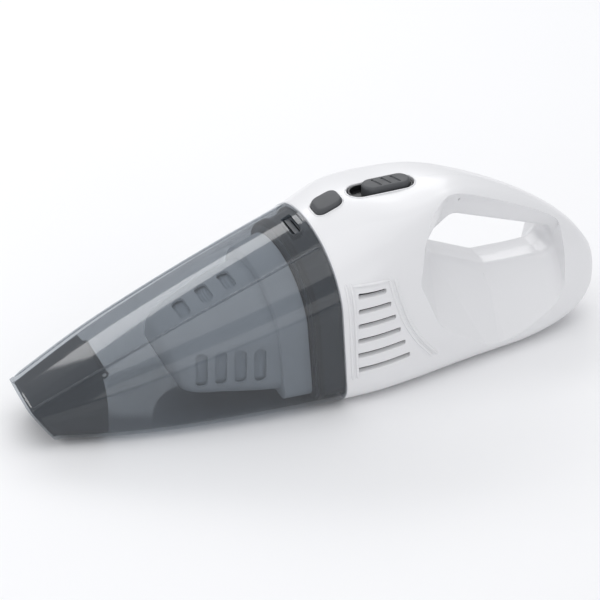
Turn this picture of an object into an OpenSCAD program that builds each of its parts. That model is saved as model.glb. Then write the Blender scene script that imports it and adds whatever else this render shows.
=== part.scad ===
// Handheld vacuum: white two-part housing with a loop handle, tinted dust bowl, cup filter,
// radial fan on a small motor, three cells and a charge socket.
// X runs from the mouth (-X) to the tail (+X), Z is up, the belly lies on Z = 0.

/* [Overall] */
// Length of the housing, from the joint ring to the tail
housing_len = 184.5; // [177:0.5:222]
// Length of the dust bowl, from the joint ring to the tip of the mouth
bowl_len = 182.5; // [165:0.5:220]
// Width at the joint ring, the widest place
ring_w = 104; // [98:1:126]
// Height of the creases at the joint ring
ring_h = 98.5; // [94:0.5:118]
// Height of the top edges of the housing at their highest place
body_h = 113; // [108:0.5:135]

/* [Walls and gaps] */
// Wall of the white housing
housing_wall = 2.4; // [2:0.1:3]
// Wall of the tinted bowl
bowl_wall = 2; // [1.6:0.1:2.6]
// Gap that shows between bowl and housing
parting_gap = 0.5; // [0.3:0.1:1]
// Radial clearance of a running or sliding fit
fit = 0.08; // [0.05:0.01:0.1]
// Clearance where pieces are dropped in
loose = 0.3; // [0.2:0.05:0.5]

/* [Mouth] */
// Width of the mouth
mouth_w = 46; // [40:1:56]
// Height of the top edge of the mouth
mouth_top = 25; // [22:1:32]
// Length of the intake duct behind the mouth
duct_len = 43; // [36:1:52]
// Thickness of the rubber flap
flap_t = 1.4; // [1:0.1:2]

/* [Handle] */
// Length of the finger hole
hole_len = 84.5; // [74:0.5:88]
// Half width of the straight middle of the finger hole
hole_half_w = 9; // [7:1:11]

/* [Fan and motor] */
// Diameter of the impeller
fan_d = 68; // [56:1:70]
// Depth of the impeller blades
blade_depth = 9; // [6:0.5:10]
// Number of blades
blades = 9; // [7:1:11]
// Diameter of the motor can
motor_d = 28; // [24:1:30]
// Length of the motor can
motor_len = 38; // [30:1:39]
// Diameter of the motor shaft
shaft_d = 3.2; // [2.3:0.1:4]

/* [Battery] */
// Diameter of a cell
cell_d = 18.4; // [14:0.1:18.6]
// Length of a cell
cell_len = 65; // [50:1:66]

/* [Controls] */
// Width of the square release button
button_w = 16; // [14:0.5:17]
// Travel of the release button
button_travel = 2.5; // [1.5:0.1:3]
// Length of the switch knob
knob_len = 30; // [26:1:32]
// Width of the switch knob
knob_w = 13; // [11:0.5:14]
// Travel of the power switch
switch_travel = 7; // [5:0.5:8]

/* [Charge socket] */
// Bore that takes the charging plug
jack_bore_d = 5.5; // [5.5:0.1:6.5]
// Depth of that bore
jack_depth = 9.5; // [8:0.5:10]

/* [Hidden] */

// ---- frame and outline -------------------------------------------------------------------
// Stations are measured from the joint ring along the belly; this puts the part's middle at X = 0
ring_x = (bowl_len - housing_len) / 2;
ring_lean = 5.8;
crease = 58;
mouth_lean = 14.5;
half_w = ring_w / 2;
mouth_u = mouth_lean - bowl_len;

// Height of the bowl's top edge above a belly station u with the given lean, bowed up by a rise
function top_line(u, lean, rise) = ring_h + rise
    + (ring_h - mouth_top) * (u - lean + ring_lean) / (bowl_len - ring_lean);

// One station: belly position, bottom, height of the top edges, half width, lower corner radius,
// half width between the top edges, height of the shoulder curve, lean of the top towards the
// mouth, how far round the shoulder turns before it meets the top (90 is smooth, less leaves a
// crease), and rise of the domed top between the edges
BOWL = [
    [mouth_u, 3, mouth_top, mouth_w / 2, 7, 17.5, 12, mouth_lean, crease, 1],
    [mouth_u * 0.75, 0.6, top_line(mouth_u * 0.75, 12, 2.7), lerp(mouth_w / 2, half_w, 0.42),
        11, 22.5, 20, 12, crease, 2],
    [mouth_u * 0.5, 0, top_line(mouth_u * 0.5, 9, 3), lerp(mouth_w / 2, half_w, 0.7),
        13, 24.8, 26, 9, crease, 3.2],
    [mouth_u * 0.25, 0, top_line(mouth_u * 0.25, 7, 1.8), lerp(mouth_w / 2, half_w, 0.89),
        15, 26, 30, 7, crease, 4.2],
    [0, 0, ring_h, half_w, 16, 26.5, 33, ring_lean, crease, 4.8]];
HOUSING = [
    [0.12, 0, 0.955 * body_h, half_w, 16, 28.5, 34, 4, 72, 4],
    [0.27, 0, 0.975 * body_h, 0.93 * half_w, 16, 27, 36, 2, 84, 2.2],
    [0.39, 0, 0.985 * body_h, 0.85 * half_w, 16, 19, 50, 0, 90, 1.8],
    [0.51, 0, 0.955 * body_h, 0.78 * half_w, 16, 9, 70, 0, 90, 1],
    [0.665, 0, 0.845 * body_h, 0.69 * half_w, 15, 5, 66, 0, 90, 0.6],
    [0.805, 2.5, 0.705 * body_h, 0.58 * half_w, 14, 4, 52, 0, 90, 0.4],
    [0.91, 8.5, 0.565 * body_h, 0.45 * half_w, 12, 3, 38, 0, 90, 0.2],
    [0.97, 17.5, 0.44 * body_h, 0.3 * half_w, 9, 3, 20, 0, 90, 0],
    [1, 29, 0.345 * body_h, 0.1 * half_w, 3, 1.5, 5, 0, 90, 0]];
OUTLINE = concat(BOWL, [for (s = HOUSING) concat([s[0] * housing_len],
    [for (k = [1:len(s) - 1]) s[k]])]);

function lerp(a, b, t) = a + (b - a) * t;
function slope(rows, i) = let (a = max(i - 1, 0), b = min(i + 1, len(rows) - 1))
    (rows[b] - rows[a]) / (rows[b][0] - rows[a][0]);
function last_before(rows, u) = max([for (i = [0:len(rows) - 2]) if (i == 0 || u >= rows[i][0]) i]);

// The station at any u, on a smooth curve through the rows
function station(rows, u) = let (i = last_before(rows, u), a = rows[i], b = rows[i + 1],
    h = b[0] - a[0], t = (u - a[0]) / h)
    a * (2 * t * t * t - 3 * t * t + 1) + b * (3 * t * t - 2 * t * t * t)
    + slope(rows, i) * h * (t * t * t - 2 * t * t + t) + slope(rows, i + 1) * h * (t * t * t - t * t);

// The right half of a station's outline, pulled in by an inset, as [y, z] from belly to top
low_steps = 5;
up_steps = 6;
dome_steps = 3;
function half_outline(s, inset) = let (w = s[3] - inset, low = max(s[4] - inset, 0.6),
    z0 = max(s[1], 0) + inset, z1 = s[2] - inset, flat = max(s[5] - inset * 0.4, 0.5),
    up = min(s[6] - inset * 0.5, z1 - z0 - low))
    concat([for (k = [0:low_steps]) let (a = 90 * k / low_steps)
            [w - low + low * sin(a), z0 + low - low * cos(a)]],
        [for (k = [0:up_steps]) let (a = s[8] * k / up_steps)
            [flat + (w - flat) * (cos(a) - cos(s[8])) / (1 - cos(s[8])), z1 - up + up * sin(a) / sin(s[8])]],
        [for (k = [1:dome_steps - 1]) let (t = 1 - k / dome_steps) [flat * t, z1 + s[9] * (1 - t * t)]]);

// Height of the middle of the top above a belly station
function middle_top(u) = let (s = station(OUTLINE, u)) s[2] + s[9];

// The whole closed ring in the part's frame
function ring(s, inset) = let (h = half_outline(s, inset), n = len(h))
    [for (k = [0:2 * n - 1]) let (p = k < n ? h[k] : [-h[2 * n - 1 - k][0], h[2 * n - 1 - k][1]])
        [ring_x + s[0] - s[7] * (p[1] - s[1]) / (s[2] - s[1]), p[0], p[1]]];

// A closed skin over a run of rings, capped at both ends or joined end to end as a loop. A run
// that goes out along the outer side and back along the inner one makes a shell or a sleeve.
module skin(rings, loop = false) {
    n = len(rings[0]);
    m = len(rings);
    polyhedron([for (r = rings) each r], concat(
        loop ? [] : [[for (k = [0:n - 1]) k], [for (k = [n - 1:-1:0]) (m - 1) * n + k]],
        [for (j = [0:loop ? m - 1 : m - 2]) for (k = [0:n - 1])
            let (a = j * n + k, b = j * n + (k + 1) % n, up = (j + 1) % m * n - j * n)
            each [[a, a + up, b], [b, a + up, b + up]]]));
}
function rings(rows, places, inset = 0) = [for (u = places) ring(station(rows, u), inset)];
function back(list) = [for (k = [len(list) - 1:-1:0]) list[k]];
module loft(rows, places, inset = 0) {
    skin(rings(rows, places, inset));
}
function spread(from, to, steps) = [for (k = [0:steps]) from + (to - from) * k / steps];

// ---- derived places ----------------------------------------------------------------------
axis_z = 44;
fan_x = ring_x + 7;
fan_wall_r = fan_d / 2 + 2.5;
fan_rim_t = 2;
backplate_x = fan_x + blade_depth + 5;
backplate_t = 2.5;
motor_x = backplate_x + backplate_t;
damper_w = 8;
damper_x = motor_x + motor_len - damper_w - 3;
damper_t = 3;
motor_end = motor_x + motor_len;
tail_x = ring_x + housing_len;
spigot_len = 17;
seat_r = 31;
collar_len = 7;
button_lead = 0.3;
button_x = ring_x + button_w / 2 - button_lead;
button_top = middle_top(12) + button_travel + 0.7;
latch_z = ring_h - 6.7;
latch_t = 1.6;
latch_half_w = 8.5;
window_x = ring_x - 13.6;
window_len = 6;
deck_slope = atan((ring_h - mouth_top) / (bowl_len - ring_lean));
switch_x = ring_x + 42;
switch_slope = atan((middle_top(56) - middle_top(28)) / 28);
switch_z = middle_top(42) - 0.5;
slot_rim = 1.2;
slot_len = knob_len + switch_travel + 2 * slot_rim + 2;
slot_w = knob_w + 2;
knob_rest = switch_travel / 2;
slider_len = 6;
slider_slot = switch_travel + slider_len + 1;
cell_x = ring_x + 77;
cell_z = 15.5;
vent_x = ring_x + 4;
vent_pitch = 9.9;
vents = 6;
socket_z = 34;
socket_half = 5;
socket_back = tail_x - 14;
socket_face = tail_x - 1.2;
socket_stop = 1.8;
SCREWS = [[ring_x + 31, 79], [ring_x + 31, 11], [ring_x + 110, 92.5], [ring_x + 166, 51]];
screw_d = 3;
screw_len = 14;
boss_d = 8.5;
well_y = 6;

// ---- shared shapes -----------------------------------------------------------------------
module along_x(d, from, to, z = axis_z, y = 0, fn = 48) {
    translate([from, y, z]) rotate([0, 90, 0]) cylinder(d = d, h = to - from, $fn = fn);
}
module along_y(d, from, to, x, z, fn = 32) {
    translate([x, from, z]) rotate([-90, 0, 0]) cylinder(d = d, h = to - from, $fn = fn);
}
module block(from, to) {
    translate(from) cube(to - from);
}
module stadium(length, width, height) {
    linear_extrude(height) {
        translate([-(length - width) / 2, -width / 2]) square([length - width, width]);
        for (s = [-1, 1]) translate([s * (length - width) / 2, 0]) circle(d = width, $fn = 40);
    }
}
module rounded_square(width, corner, height) {
    linear_extrude(height) {
        square([width, width - 2 * corner], center = true);
        square([width - 2 * corner, width], center = true);
        for (sx = [-1, 1], sy = [-1, 1])
            translate([sx * (width / 2 - corner), sy * (width / 2 - corner)])
                circle(r = corner, $fn = 32);
    }
}

// ---- handle hole -------------------------------------------------------------------------
// Each outline is a few circles [x, z, radius] in the side view; the hole flares from the
// straight middle, past the grip, to the rim on the flank of the housing
hole_x = ring_x + 68.5;
hole_end = hole_x + hole_len;
HOLE = [[hole_x + 9.5, 74, 9.5], [hole_x + 17, 81.5, 8], [hole_end - 9.5, 59, 9.5],
    [hole_x + 41, 60.5, 10]];
WAIST = [[hole_x + 8.5, 74, 11], [hole_x + 16, 93, 9], [hole_end - 9, 70, 10],
    [hole_end - 10.5, 57, 10.5], [hole_x + 41, 57, 11.5]];
RIM = [[hole_x - 7, 74, 15], [hole_x + 2, 120, 15], [hole_end - 12, 105, 14],
    [hole_end - 15, 18, 15], [hole_x + 43, 20, 20], [hole_x + 7, 50, 18]];
waist_half_w = 14;
rim_half_w = 45;

module side_slab(outline, y, grow) {
    translate([0, y, 0]) rotate([90, 0, 0]) linear_extrude(0.02, center = true)
        for (c = outline) translate([c[0], c[1]]) circle(r = c[2] + grow, $fn = 28);
}
module flare(grow = 0) {
    hull() for (s = [-1, 1]) side_slab(HOLE, s * hole_half_w, grow);
    for (s = [-1, 1]) {
        hull() {
            side_slab(HOLE, s * (hole_half_w - 0.02), grow);
            side_slab(WAIST, s * waist_half_w, grow);
        }
        hull() {
            side_slab(WAIST, s * (waist_half_w - 0.02), grow);
            side_slab(RIM, s * rim_half_w, grow);
        }
        hull() for (y = [rim_half_w - 0.02, half_w + 2]) side_slab(RIM, s * y, grow);
    }
}

// ---- housing -----------------------------------------------------------------------------
OUTSIDE = rings(OUTLINE, concat([0], spread(6, 0.91 * housing_len, 18),
    [for (t = [0.94, 0.97, 0.99, 1]) t * housing_len]));
INSIDE = rings(OUTLINE, concat([0], spread(8, 0.91 * housing_len, 16),
    [for (t = [0.95, 0.975]) t * housing_len]), housing_wall);
module vent_slots() {
    for (k = [0:vents - 1]) {
        z = axis_z - 17 + k * vent_pitch;
        length = 35.5 - 3.4 * k;
        hull() for (x = [vent_x + 2, vent_x + length]) along_y(3.2, -half_w - 2, half_w + 2, x, z, 12);
    }
}
module on_switch_slope() {
    translate([switch_x, 0, switch_z]) rotate([0, -switch_slope, 0]) children();
}
module socket_hole(grow) {
    side = socket_half + grow;
    block([socket_back + 1 - grow, -side, socket_z - side], [tail_x + 1, side, socket_z + side]);
}
module housing_shell() {
    difference() {
        union() {
            skin(concat(back(INSIDE), OUTSIDE));
            intersection() {
                skin(OUTSIDE);
                union() {
                    flare(housing_wall);
                    for (s = SCREWS) along_y(boss_d, -half_w, half_w, s[0], s[1], 24);
                    difference() {
                        block([damper_x + 1.5, -half_w, 0], [damper_x + damper_w - 1.5, half_w, axis_z + 22]);
                        along_x(motor_d + 2 * damper_t + 2 * fit, damper_x, damper_x + damper_w);
                    }
                    // Holds the charge socket against the push of the plug
                    block([socket_back - loose - socket_stop, -half_w, socket_z - socket_half - 1],
                        [socket_back - loose, half_w, socket_z + socket_half + 1]);
                }
            }
        }
        flare();
        vent_slots();
        for (s = SCREWS) {
            along_y(screw_d + 2 * fit, 5 - screw_len, well_y + 1, s[0], s[1], 24);
            along_y(2 * screw_d + 2 * loose, well_y, half_w + 1, s[0], s[1], 24);
        }
        translate([button_x, 0, ring_h - 10]) rounded_square(button_w + 2 * loose, 3, 40);
        on_switch_slope() translate([0, 0, -8]) stadium(slot_len + 2 * loose, slot_w + 2 * loose, 20);
        socket_hole(loose);
    }
}
module housing_left() {
    color("white") intersection() {
        housing_shell();
        block([-housing_len, -ring_w, -1], [2 * housing_len, 0, 2 * body_h]);
    }
}
module housing_right() {
    color("white") intersection() {
        housing_shell();
        block([-housing_len, 0, -1], [2 * housing_len, ring_w, 2 * body_h]);
    }
}

// ---- bulkhead, seal and bowl -------------------------------------------------------------
spigot_inset = bowl_wall + 2;
spigot_wall = 2;
SEAL = [-16, -12.5];
SPIGOT = concat([-spigot_len], SEAL, [-6, 0.5]);
flange_inset = housing_wall + loose;
seat_wall = 3;
module front_bulkhead() {
    color("dimgray") difference() {
        union() {
            skin(concat(rings(OUTLINE, SPIGOT, spigot_inset), rings(OUTLINE, [0.5, 3], flange_inset),
                back(rings(OUTLINE, [seat_wall - spigot_len, -6, 0.5, 3], spigot_inset + spigot_wall))));
            intersection() {
                loft(OUTLINE, [-16, -11, -6, 2.5], spigot_inset + spigot_wall / 2);
                block([ring_x - 6, -half_w, 0], [ring_x - 3.5, half_w, 2 * ring_h]);
            }
        }
        along_x(2 * seat_r + 2 * fit + 0.4, ring_x - spigot_len - 12, ring_x - 9);
        along_x(34, ring_x - 12, ring_x + 8);
        block([ring_x - 8, -latch_half_w - 1, latch_z - latch_t - 1.5],
            [ring_x - 2, latch_half_w + 1, latch_z + 1.5]);
        block([window_x - 3.2, -latch_half_w - 1, latch_z - 1],
            [window_x + 3.2, latch_half_w + 1, ring_h + 10]);
    }
}
module bowl_seal() {
    color("black") skin(concat(rings(OUTLINE, SEAL, bowl_wall + loose),
        back(rings(OUTLINE, SEAL, spigot_inset - fit))), true);
}
rib_t = 1.2;
module crease_rib(side) {
    places = spread(mouth_u + 4, -parting_gap - 1, 6);
    for (k = [0:len(places) - 2]) hull() for (u = [places[k], places[k + 1]]) {
        s = station(OUTLINE, u);
        translate([ring_x + s[0] - s[7], side * (s[5] + 0.6), s[2] - rib_t / 2 - 0.4])
            cube([0.4, rib_t, rib_t], center = true);
    }
}
module dust_bowl() {
    color([0.5, 0.52, 0.55, 0.5]) difference() {
        union() {
            skin(concat(rings(OUTLINE, spread(mouth_u, -parting_gap, 9)),
                back(rings(OUTLINE, spread(mouth_u, -parting_gap, 8), bowl_wall))), true);
            for (side = [-1, 1]) crease_rib(side);
        }
        translate([window_x, 0, ring_h]) rotate([0, -deck_slope, 0])
            cube([window_len, 2 * latch_half_w + 2, 16], center = true);
    }
}

// ---- intake ------------------------------------------------------------------------------
duct_inset = bowl_wall + 0.25;
duct_wall = 1.8;
duct_end = ring_x - bowl_len + duct_len;
pin_x = duct_end + 3;
pin_r = 1.2;
pin_z = top_line(pin_x - ring_x + 12, 12, 2) - bowl_wall - 6;
flap_half_w = 15;
gate_half_w = 13;
gate_low = 6;
module intake_duct() {
    color([0.25, 0.27, 0.29]) {
        difference() {
            loft(OUTLINE, spread(mouth_u + 1, mouth_u + 42, 5), duct_inset);
            loft(OUTLINE, concat([mouth_u - 3], spread(mouth_u + 9, mouth_u + 43, 4)), duct_inset + duct_wall);
            block([duct_end, -half_w, -1], [duct_end + 60, half_w, ring_h]);
        }
        difference() {
            intersection() {
                loft(OUTLINE, [mouth_u + 8, mouth_u + 42], duct_inset + duct_wall / 2);
                block([duct_end - 2, -half_w, 0], [duct_end, half_w, ring_h]);
            }
            block([duct_end - 3, -gate_half_w, gate_low], [duct_end + 1, gate_half_w, pin_z - 3]);
        }
        for (s = [-1, 1]) difference() {
            union() {
                along_y(5.2, s * (flap_half_w + 1.5) - 1, s * (flap_half_w + 1.5) + 1, pin_x, pin_z);
                block([duct_end - 0.5, s * (flap_half_w + 1.5) - 1, pin_z - 2.6],
                    [pin_x, s * (flap_half_w + 1.5) + 1, pin_z + 2.6]);
            }
            along_y(2 * pin_r, -half_w, half_w, pin_x, pin_z);
        }
    }
}
module flap_pin() {
    color("silver") along_y(2 * pin_r, -flap_half_w - 2.5, flap_half_w + 2.5, pin_x, pin_z);
}
module intake_flap() {
    color("black") difference() {
        union() {
            along_y(2 * pin_r + 2.4, -flap_half_w, flap_half_w, pin_x, pin_z);
            block([pin_x - pin_r - 1.2, -flap_half_w, gate_low - 2],
                [pin_x - pin_r - 1.2 + flap_t, flap_half_w, pin_z]);
        }
        along_y(2 * pin_r + 2 * fit, -half_w, half_w, pin_x, pin_z);
    }
}

// ---- filter ------------------------------------------------------------------------------
// The cup: a straight band at the rear, then a taper that follows the bowl, then a round front
band_len = 18;
cup_len = 60;
cup_wall = 1.6;
band = station(OUTLINE, -spigot_len - band_len);
band_inset = bowl_wall + 5;
CUP = [
    [-spigot_len - band_len - cup_len, 24, 42, 14, 6, 6, 8, 8, 90, 0],
    [-spigot_len - band_len - cup_len + 5, 16, 50, 25, 10, 10, 14, 8, 80, 0.5],
    [-spigot_len - band_len - cup_len / 2, 11, lerp(50, band[2] - band_inset, 0.5), 32, 14, 12, 20, 8, 65, 1],
    [-spigot_len - band_len, 9, band[2] - band_inset - 4, band[3] - band_inset - 3, 16, 14, 26, 8, 60, 2],
    [-spigot_len - 1, 9, band[2] - band_inset - 4, band[3] - band_inset - 3, 16, 14, 26, 7, 60, 2]];
function cup_places(start) = concat([for (d = [0, 1.5, 3.5, 6]) CUP[0][0] + start + d],
    spread(CUP[0][0] + 16, CUP[3][0], 4));
module cup_windows() {
    for (side = [-1, 1], k = [0:3]) {
        x = ring_x - spigot_len - band_len - 14 - 11 * k;
        hull() for (z = [24, 40]) along_y(7, side > 0 ? 12 : -half_w, side > 0 ? half_w : -12, x, z + 2, 16);
    }
    for (k = [0:2]) hull() for (y = [-6, 6])
        translate([ring_x - spigot_len - band_len - 20 - 14 * k, y, 40]) cylinder(d = 7, h = 60, $fn = 16);
}
module filter_frame() {
    color("whitesmoke") {
        difference() {
            union() {
                loft(CUP, cup_places(0));
                intersection() {
                    loft(OUTLINE, [-spigot_len - band_len, -spigot_len - 1.2], band_inset);
                    along_x(200, ring_x - 80, ring_x - spigot_len);
                }
            }
            loft(CUP, concat(cup_places(cup_wall), [-spigot_len - band_len / 2]), cup_wall);
            along_x(2 * seat_r - 4, ring_x - spigot_len - band_len + 4, ring_x);
            cup_windows();
        }
        difference() {
            along_x(2 * seat_r, ring_x - spigot_len - 9, ring_x - spigot_len + collar_len - 4);
            along_x(2 * seat_r - 4, ring_x - spigot_len - 12, ring_x - spigot_len + collar_len + 1);
        }
    }
}
module filter_cloth() {
    color("lightgray") difference() {
        loft(CUP, concat(cup_places(cup_wall + 1.5), [-spigot_len - band_len / 2 - 1]), cup_wall + 1.2);
        loft(CUP, concat(cup_places(cup_wall + 3), [-spigot_len]), cup_wall + 2.6);
    }
}
// A flat gasket that leans like the joint ring
module filter_seal() {
    s = station(OUTLINE, -spigot_len);
    h = half_outline(s, band_inset + 1);
    color("black") translate([ring_x - spigot_len - 1.15, 0, 0])
        rotate([0, -atan(s[7] / (s[2] - s[1])), 0]) rotate([90, 0, 90]) linear_extrude(1.05)
            difference() {
                polygon(concat(h, [for (k = [len(h) - 1:-1:0]) [-h[k][0], h[k][1]]]));
                translate([0, axis_z]) circle(r = seat_r + 0.5, $fn = 72);
            }
}

// ---- fan and motor -----------------------------------------------------------------------
module fan_housing() {
    color("gray") difference() {
        union() {
            difference() {
                along_x(2 * fan_wall_r + 2 * fan_rim_t, fan_x - 2, backplate_x + backplate_t, fn = 72);
                along_x(2 * fan_wall_r, fan_x - 3, backplate_x, fn = 72);
            }
            along_x(22, backplate_x - 2, backplate_x);
        }
        block([fan_x - 3, -half_w, axis_z - 20], [backplate_x - 1, -fan_wall_r + 12, axis_z + 20]);
        block([fan_x - 3, fan_wall_r - 12, axis_z - 20], [backplate_x - 1, half_w, axis_z + 20]);
        along_x(11, backplate_x - 5, motor_x + 1);
        for (s = [-1, 1]) along_x(2.6, backplate_x - 5, motor_x + 1, axis_z + s * 8, fn = 24);
    }
}
module impeller() {
    color("silver") difference() {
        union() {
            along_x(12, fan_x, fan_x + blade_depth + 0.9);
            along_x(fan_d, fan_x + blade_depth - 0.3, fan_x + blade_depth + 0.9, fn = 72);
            translate([fan_x, 0, axis_z]) rotate([0, 90, 0]) for (k = [0:blades - 1])
                rotate(360 * k / blades) linear_extrude(blade_depth) intersection() {
                    translate([fan_d / 4 - 1, -fan_d / 5.2]) difference() {
                        circle(r = fan_d / 3.7, $fn = 64);
                        circle(r = fan_d / 3.7 - 1.2, $fn = 64);
                    }
                    translate([fan_d / 12, 0]) square([fan_d / 2 - fan_d / 12 - 1.6, fan_d / 3]);
                }
        }
        along_x(shaft_d, fan_x - 1, fan_x + blade_depth + 3, fn = 32);
    }
}
module impeller_nut() {
    color("goldenrod") difference() {
        along_x(7, fan_x - 2.6, fan_x, fn = 6);
        along_x(shaft_d, fan_x - 3, fan_x + 1, fn = 32);
    }
}
module motor_shaft() {
    color("lightsteelblue") along_x(shaft_d, fan_x - 3.4, motor_end + 6, fn = 32);
}
module motor_can() {
    color("slategray") difference() {
        union() {
            along_x(motor_d, motor_x, motor_end, fn = 64);
            along_x(10, motor_x - 2, motor_x, fn = 40);
        }
        along_x(shaft_d + 2 * fit, motor_x - 3, motor_end + 1, fn = 32);
        for (s = [-1, 1]) along_x(2.6, motor_x - 1, motor_x + 4, axis_z + s * 8, fn = 24);
    }
}
module motor_end_cap() {
    color("black") difference() {
        union() {
            along_x(motor_d - 0.6, motor_end, motor_end + 3, fn = 64);
            along_x(9, motor_end + 3, motor_end + 5, fn = 40);
        }
        along_x(shaft_d + 2 * fit, motor_end - 1, motor_end + 7, fn = 32);
    }
}
module motor_terminals() {
    color("gold") for (s = [-1, 1])
        block([motor_end + 3, s * 9 - 1.5, axis_z - 0.3], [motor_end + 8, s * 9 + 1.5, axis_z + 0.3]);
}
module motor_screws() {
    color("silver") for (s = [-1, 1]) {
        along_x(2.5, backplate_x - 0.1, motor_x + 3.5, axis_z + s * 8, fn = 24);
        along_x(4.6, backplate_x - 3.7, backplate_x - 2, axis_z + s * 8, fn = 24);
        along_x(2.5, backplate_x - 2, backplate_x, axis_z + s * 8, fn = 24);
    }
}
module motor_damper() {
    color("black") difference() {
        along_x(motor_d + 2 * damper_t, damper_x, damper_x + damper_w, fn = 64);
        along_x(motor_d, damper_x - 1, damper_x + damper_w + 1, fn = 64);
    }
}

// ---- battery and charging ----------------------------------------------------------------
cell_gap = 0.5;
cell_pitch = cell_d + cell_gap;
CELLS = [[-cell_pitch / 2, cell_z], [cell_pitch / 2, cell_z], [0, cell_z + cell_pitch * 0.866]];
module battery_cells() {
    color("seagreen") for (c = CELLS) {
        along_x(cell_d, cell_x, cell_x + cell_len, c[1], c[0], 40);
        along_x(6, cell_x + cell_len, cell_x + cell_len + 0.8, c[1], c[0], 24);
    }
}
module battery_holder() {
    color("dimgray") for (x = [cell_x + 6, cell_x + cell_len - 10]) difference() {
        hull() for (c = CELLS) along_x(cell_d + 4, x, x + 4, c[1], c[0], 32);
        for (c = CELLS) along_x(cell_d + 2 * fit, x - 1, x + 5, c[1], c[0], 40);
    }
}
module cell_straps() {
    color("silver") {
        block([cell_x - 0.3, -cell_pitch / 2 - 3, cell_z - 3], [cell_x, cell_pitch / 2 + 3, cell_z + 3]);
        block([cell_x + cell_len + 0.8, -3, cell_z - 3],
            [cell_x + cell_len + 1.1, 3, cell_z + cell_pitch * 0.866 + 3]);
    }
}
board_x = cell_x + cell_len + 6;
board_z = 22;
module charge_board() {
    color("green") difference() {
        block([board_x, -8, board_z], [board_x + 22, 8, board_z + 1.6]);
        for (s = [-1, 1]) translate([board_x + 19, s * 5.5, board_z - 1]) cylinder(d = 2.2, h = 4, $fn = 24);
    }
}
module board_parts() {
    color("black") {
        block([board_x + 3, -4, board_z + 1.6], [board_x + 9, 4, board_z + 3.4]);
        block([board_x + 12, -6, board_z + 1.6], [board_x + 15, -3, board_z + 3]);
        translate([board_x + 14, 3, board_z + 1.6]) cylinder(d = 5, h = 5.5, $fn = 32);
    }
}
module charge_socket() {
    color([0.15, 0.15, 0.16]) difference() {
        block([socket_back, -socket_half, socket_z - socket_half],
            [socket_face, socket_half, socket_z + socket_half]);
        along_x(jack_bore_d, socket_face - jack_depth, tail_x + 1, socket_z, fn = 40);
    }
}

// ---- controls ----------------------------------------------------------------------------
flange_t = 1.6;
flange_z = middle_top(12) - housing_wall - 5;
module release_button() {
    color([0.38, 0.38, 0.4]) translate([button_x, 0, 0]) {
        translate([0, 0, latch_z + 0.1]) rounded_square(button_w, 3, button_top - latch_z - 0.1);
        translate([0, 0, flange_z - flange_t]) rounded_square(button_w + 3, 3, flange_t);
    }
}
module release_latch() {
    color("gray") {
        block([window_x - 3, -latch_half_w, latch_z - latch_t], [ring_x + 22, latch_half_w, latch_z]);
        block([window_x - 1.6, -latch_half_w, latch_z - 0.1], [window_x + 1.6, latch_half_w, latch_z + 6.4]);
    }
}
spring_low = axis_z + fan_wall_r + fan_rim_t + 0.2;
spring_r = 3;
spring_turns = 4;
module release_spring() {
    rise = latch_z - latch_t - spring_low - 1.2;
    turn_steps = 14;
    path = [for (k = [0:spring_turns * turn_steps]) let (a = 360 * k / turn_steps)
        [button_x + spring_r * cos(a), spring_r * sin(a), spring_low + 0.6
            + rise * k / (spring_turns * turn_steps)]];
    color("silver") tube(path, 0.45, 6);
}
module switch_tray() {
    color([0.2, 0.2, 0.22]) on_switch_slope() difference() {
        translate([0, 0, -5]) union() {
            stadium(slot_len, slot_w, 5);
            stadium(slot_len + 4, slot_w + 4, 1.5);
        }
        translate([0, 0, -3]) stadium(slot_len - 2 * slot_rim, knob_w + 2 * loose, 6);
        translate([0, 0, -7]) cube([slider_slot, 4.4, 12], center = true);
    }
}
module switch_knob() {
    color([0.3, 0.31, 0.33]) on_switch_slope() translate([knob_rest, 0, -2.9]) difference() {
        stadium(knob_len, knob_w, 6.6);
        for (k = [-1:1]) translate([k * 6, 0, 6.8]) rotate([0, 0, 20])
            cube([1.6, knob_w * 0.7, 2.4], center = true);
    }
}
module switch_slider() {
    color("ivory") on_switch_slope() translate([knob_rest, 0, -8.4]) linear_extrude(5.5)
        square([slider_len, 4], center = true);
}
module switch_body() {
    color("darkslategray") on_switch_slope() difference() {
        translate([0, 0, -12.1]) cube([26, 12, 14], center = true);
        translate([0, 0, -6]) cube([slider_slot, 4.4, 5.6], center = true);
    }
}

// ---- foam, screws and leads --------------------------------------------------------------
module foam(side) {
    color("darkgray") block([vent_x - 1, side > 0 ? 41.5 : -44, axis_z - 20],
        [vent_x + 36, side > 0 ? 44 : -41.5, axis_z + 30]);
}
module foam_left() { foam(-1); }
module foam_right() { foam(1); }
module housing_screws() {
    color("silver") for (s = SCREWS) {
        along_y(screw_d, 6 - screw_len, well_y, s[0], s[1], 32);
        along_y(2 * screw_d, well_y, well_y + 2, s[0], s[1], 32);
    }
}
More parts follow.
